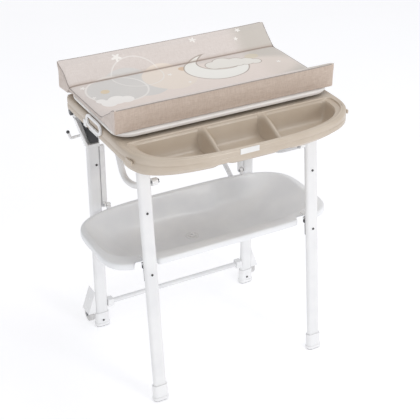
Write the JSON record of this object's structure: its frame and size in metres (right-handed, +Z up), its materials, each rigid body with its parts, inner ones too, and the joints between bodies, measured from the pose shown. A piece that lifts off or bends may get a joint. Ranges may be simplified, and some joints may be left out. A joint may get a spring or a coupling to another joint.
{
  "type": "changing table",
  "caption": "Folding changing table: padded mat with two bolsters on a hinged board, pocket tray, oval legs, side stays, wheels and a bath basin with drain hose below.",
  "frame": {"origin": "on the floor under the middle of the bounding box", "axes": "+X to the right seen from the front, +Y to the back (the upright rear legs), +Z up"},
  "size_m": [0.854, 0.675, 1.0554],
  "materials": {
    "white_frame": "satin white powder coat",
    "white_plastic": "glossy white moulding",
    "beige_plastic": "satin beige moulding",
    "cream_plastic": "satin cream board",
    "mat_cover": "coated cotton cover",
    "dark_plastic": "dark grey plastic",
    "dark_rubber": "matt rubber",
    "steel": "plain steel",
    "grey_plastic": "light grey plastic"
  },
  "bodies": {
    "rear_frame": {"left_rear_leg": "white_frame", "right_rear_leg": "white_frame", "left_rear_foot": "white_plastic", "right_rear_foot": "white_plastic", "rear_soles": "dark_rubber", "left_hinge_head": "white_plastic", "right_hinge_head": "white_plastic", "left_wheel_fender": "white_plastic", "right_wheel_fender": "white_plastic", "wheel_axles": "steel", "left_basin_rail": "white_plastic", "right_basin_rail": "white_plastic", "basin_rear_pins": "steel", "side_hooks": "white_plastic", "hook_tips": "dark_plastic", "stay_rear_pins": "steel", "rear_crossbar": "white_frame", "crossbar_sockets": "white_plastic", "rear_frame_screws": "steel"},
    "top": {"accessory_tray": "beige_plastic", "blank_label": "grey_plastic", "tray_side_caps": "beige_plastic", "rear_hinge_brackets": "dark_plastic", "rear_hinge_pins": "steel", "leg_brackets": "dark_plastic", "leg_pins": "steel", "latch_bases": "white_plastic", "latch_pins": "steel", "latch_covers": "grey_plastic", "board_hinge_base": "cream_plastic", "board_hinge_pins": "steel", "board_rest_pads": "dark_rubber"},
    "board": {"changing_board": "cream_plastic", "board_hinge_leaf": "cream_plastic", "changing_mat": "mat_cover"},
    "basin": {"bath_basin": "white_plastic", "drain_seat": "white_plastic", "drain_hose": "white_plastic", "hose_end_cap": "white_plastic"},
    "plug": {"drain_plug": "white_plastic"},
    "left_leg": {"left_front_leg": "white_frame", "left_leg_eye": "dark_plastic", "left_front_foot": "white_plastic", "left_front_sole": "dark_rubber", "left_basin_hook": "dark_plastic", "left_leg_screws": "steel", "left_stay_front_pin": "steel"},
    "left_stay": {"left_side_stay": "white_frame"},
    "left_latch": {"left_board_latch": "white_plastic"},
    "left_roller": {"left_wheel": "grey_plastic"},
    "right_leg": {"right_front_leg": "white_frame", "right_leg_eye": "dark_plastic", "right_front_foot": "white_plastic", "right_front_sole": "dark_rubber", "right_basin_hook": "dark_plastic", "right_leg_screws": "steel", "right_stay_front_pin": "steel"},
    "right_stay": {"right_side_stay": "white_frame"},
    "right_latch": {"right_board_latch": "white_plastic"},
    "right_roller": {"right_wheel": "grey_plastic"}
  },
  "joints": [
    {"name": "top_fold", "type": "hinge", "parent": "rear_frame", "child": "top", "pos_m": [0, 0.272, 0.886], "axis": [-1, 0, 0], "range_deg": [0, 65]},
    {"name": "board_lift", "type": "hinge", "parent": "top", "child": "board", "pos_m": [0, 0.289, 0.951], "axis": [-1, 0, 0], "range_deg": [0, 70]},
    {"name": "basin_fold", "type": "hinge", "parent": "rear_frame", "child": "basin", "pos_m": [0, 0.251, 0.515], "axis": [-1, 0, 0], "range_deg": [0, 65]},
    {"name": "drain_plug_lift", "type": "slide", "parent": "basin", "child": "plug", "axis": [0, 0, 1], "range_m": [0, 0.02]},
    {"name": "left_leg_fold", "type": "hinge", "parent": "top", "child": "left_leg", "pos_m": [-0.308, -0.1315, 0.879], "axis": [-1, 0, 0], "range_deg": [-65, 0]},
    {"name": "left_stay_fold", "type": "hinge", "parent": "rear_frame", "child": "left_stay", "pos_m": [-0.272, 0.26291, 0.797], "axis": [-1, 0, 0], "range_deg": [0, 65]},
    {"name": "left_latch_swing", "type": "hinge", "parent": "top", "child": "left_latch", "pos_m": [-0.3955, 0.03, 0.9155], "axis": [0, -1, 0], "range_deg": [0, 50]},
    {"name": "left_wheel_spin", "type": "hinge", "parent": "rear_frame", "child": "left_roller", "pos_m": [-0.345, 0.301, 0.042], "axis": [-1, 0, 0], "continuous": true},
    {"name": "right_leg_fold", "type": "hinge", "parent": "top", "child": "right_leg", "pos_m": [0.308, -0.1315, 0.879], "axis": [-1, 0, 0], "range_deg": [-65, 0]},
    {"name": "right_stay_fold", "type": "hinge", "parent": "rear_frame", "child": "right_stay", "pos_m": [0.272, 0.26291, 0.797], "axis": [-1, 0, 0], "range_deg": [0, 65]},
    {"name": "right_latch_swing", "type": "hinge", "parent": "top", "child": "right_latch", "pos_m": [0.3955, 0.03, 0.9155], "axis": [0, 1, 0], "range_deg": [0, 50]},
    {"name": "right_wheel_spin", "type": "hinge", "parent": "rear_frame", "child": "right_roller", "pos_m": [0.345, 0.301, 0.042], "axis": [-1, 0, 0], "continuous": true}
  ],
  "couplings": [
    {"joint": "basin_fold", "follows": "top_fold", "ratio": 1},
    {"joint": "left_leg_fold", "follows": "top_fold", "ratio": -1},
    {"joint": "left_stay_fold", "follows": "top_fold", "ratio": 1},
    {"joint": "right_leg_fold", "follows": "top_fold", "ratio": -1},
    {"joint": "right_stay_fold", "follows": "top_fold", "ratio": 1}
  ]
}
